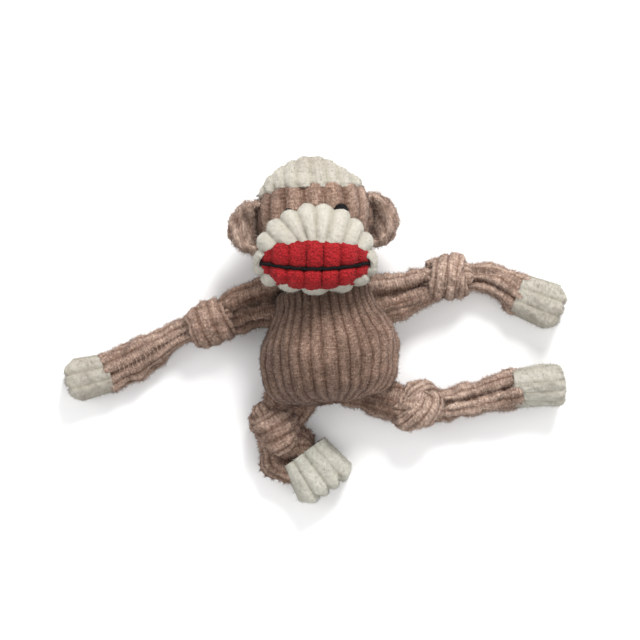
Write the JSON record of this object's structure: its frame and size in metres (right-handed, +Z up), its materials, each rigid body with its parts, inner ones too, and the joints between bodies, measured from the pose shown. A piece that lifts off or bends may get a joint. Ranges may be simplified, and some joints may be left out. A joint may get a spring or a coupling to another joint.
{
  "type": "stuffed monkey",
  "caption": "Knotted-limb plush monkey in ribbed corduroy with a bulging muzzle, padded red lips and white hands and feet, lying on its back.",
  "frame": {"origin": "middle of the flat of the torso's back, on the surface it lies on", "axes": "+Z up out of the belly, +Y towards the head, +X towards the monkey's own left hand"},
  "size_m": [0.2335, 0.1587, 0.061],
  "materials": {
    "brown_corduroy": "wide-wale knit corduroy, mottled taupe pile",
    "white_corduroy": "wide-wale knit corduroy, off-white pile",
    "red_terry": "short terry pile over padded ribs",
    "black_thread": "satin-stitched embroidery thread",
    "stuffing_fibre": "loose polyester fibre",
    "squeaker_plastic": "thin blow-moulded plastic"
  },
  "bodies": {
    "torso": {"torso_front_panel": "brown_corduroy", "torso_back_panel": "brown_corduroy", "torso_stuffing": "stuffing_fibre", "belly_squeaker": "squeaker_plastic", "squeaker_reed": "squeaker_plastic"},
    "neck": {"neck_sleeve": "brown_corduroy", "neck_stuffing": "stuffing_fibre"},
    "head": {"head_front_panel": "brown_corduroy", "head_back_panel": "brown_corduroy", "crown_panel": "white_corduroy", "head_stuffing": "stuffing_fibre", "muzzle_upper_panel": "white_corduroy", "chin_panel": "white_corduroy", "muzzle_stuffing": "stuffing_fibre", "upper_lip": "red_terry", "lower_lip": "red_terry", "mouth_line": "black_thread", "right_eye": "black_thread", "left_eye": "black_thread"},
    "right_ear": {"right_ear_front": "brown_corduroy", "right_ear_back": "brown_corduroy"},
    "left_ear": {"left_ear_front": "brown_corduroy", "left_ear_back": "brown_corduroy"},
    "right_upper_arm": {"right_upper_arm_sleeve": "brown_corduroy", "right_arm_knot": "brown_corduroy"},
    "right_forearm": {"right_forearm_sleeve": "brown_corduroy", "right_forearm_stuffing": "stuffing_fibre"},
    "right_hand": {"right_hand_top_panel": "white_corduroy", "right_hand_under_panel": "white_corduroy", "right_hand_stuffing": "stuffing_fibre"},
    "left_upper_arm": {"left_upper_arm_sleeve": "brown_corduroy", "left_arm_knot": "brown_corduroy"},
    "left_forearm": {"left_forearm_sleeve": "brown_corduroy", "left_forearm_stuffing": "stuffing_fibre"},
    "left_hand": {"left_hand_top_panel": "white_corduroy", "left_hand_under_panel": "white_corduroy", "left_hand_stuffing": "stuffing_fibre"},
    "right_thigh": {"right_thigh_sleeve": "brown_corduroy", "right_leg_knot": "brown_corduroy"},
    "right_shin": {"right_shin_sleeve": "brown_corduroy", "right_shin_stuffing": "stuffing_fibre"},
    "right_foot": {"right_foot_top_panel": "white_corduroy", "right_foot_under_panel": "white_corduroy", "right_foot_stuffing": "stuffing_fibre"},
    "left_thigh": {"left_thigh_sleeve": "brown_corduroy", "left_leg_knot": "brown_corduroy"},
    "left_shin": {"left_shin_sleeve": "brown_corduroy", "left_shin_stuffing": "stuffing_fibre"},
    "left_foot": {"left_foot_top_panel": "white_corduroy", "left_foot_under_panel": "white_corduroy", "left_foot_stuffing": "stuffing_fibre"}
  },
  "joints": [
    {"name": "neck_turn", "type": "hinge", "parent": "torso", "child": "neck", "pos_m": [-0.0046, 0.034, 0.018], "axis": [-0.1392, 0.9903, 0], "range_deg": [-30, 30]},
    {"name": "head_nod", "type": "hinge", "parent": "neck", "child": "head", "pos_m": [-0.0046, 0.034, 0.018], "axis": [0.9903, 0.1392, 0], "range_deg": [-20, 6]},
    {"name": "right_ear_fold", "type": "hinge", "parent": "head", "child": "right_ear", "pos_m": [-0.03527, 0.057, 0.022], "axis": [0, 1, 0], "range_deg": [-20, 35]},
    {"name": "left_ear_fold", "type": "hinge", "parent": "head", "child": "left_ear", "pos_m": [0.02173, 0.0605, 0.022], "axis": [0, -1, 0], "range_deg": [-20, 35]},
    {"name": "right_shoulder_lift", "type": "hinge", "parent": "torso", "child": "right_upper_arm", "pos_m": [-0.038, 0.0193, 0.014], "axis": [-0.3398, 0.9405, 0], "range_deg": [-20, 60]},
    {"name": "right_elbow_swing", "type": "hinge", "parent": "right_upper_arm", "child": "right_forearm", "pos_m": [-0.07186, 0.00707, 0.0075], "axis": [0, 0, -1], "range_deg": [-35, 35]},
    {"name": "right_wrist_curl", "type": "hinge", "parent": "right_forearm", "child": "right_hand", "pos_m": [-0.10919, -0.01406, 0.0085], "axis": [-0.4924, 0.8704, 0], "range_deg": [-30, 35]},
    {"name": "left_shoulder_lift", "type": "hinge", "parent": "torso", "child": "left_upper_arm", "pos_m": [0.0333, 0.0292, 0.014], "axis": [0.095, -0.9955, 0], "range_deg": [-20, 60]},
    {"name": "left_elbow_swing", "type": "hinge", "parent": "left_upper_arm", "child": "left_forearm", "pos_m": [0.0714, 0.03284, 0.0075], "axis": [0, 0, 1], "range_deg": [-35, 35]},
    {"name": "left_wrist_curl", "type": "hinge", "parent": "left_forearm", "child": "left_hand", "pos_m": [0.0923, 0.02125, 0.0085], "axis": [-0.4848, -0.8746, 0], "range_deg": [-30, 35]},
    {"name": "right_hip_lift", "type": "hinge", "parent": "torso", "child": "right_thigh", "pos_m": [-0.0265, -0.0223, 0.0095], "axis": [-0.9807, -0.1953, 0], "range_deg": [-15, 15]},
    {"name": "right_knee_swing", "type": "hinge", "parent": "right_thigh", "child": "right_shin", "pos_m": [-0.02107, -0.04958, 0.008], "axis": [0, 0, -1], "range_deg": [-20, 20]},
    {"name": "right_ankle_curl", "type": "hinge", "parent": "right_shin", "child": "right_foot", "pos_m": [-0.00619, -0.05356, 0.0095], "axis": [-0.2588, -0.9659, 0], "range_deg": [-30, 35]},
    {"name": "left_hip_lift", "type": "hinge", "parent": "torso", "child": "left_thigh", "pos_m": [0.024, -0.0255, 0.011], "axis": [-0.0534, -0.9986, 0], "range_deg": [-15, 35]},
    {"name": "left_knee_swing", "type": "hinge", "parent": "left_thigh", "child": "left_shin", "pos_m": [0.05755, -0.02729, 0.008], "axis": [0, 0, 1], "range_deg": [-30, 35]},
    {"name": "left_ankle_curl", "type": "hinge", "parent": "left_shin", "child": "left_foot", "pos_m": [0.09322, -0.01605, 0.0095], "axis": [0.3007, -0.9537, 0], "range_deg": [-30, 35]}
  ]
}
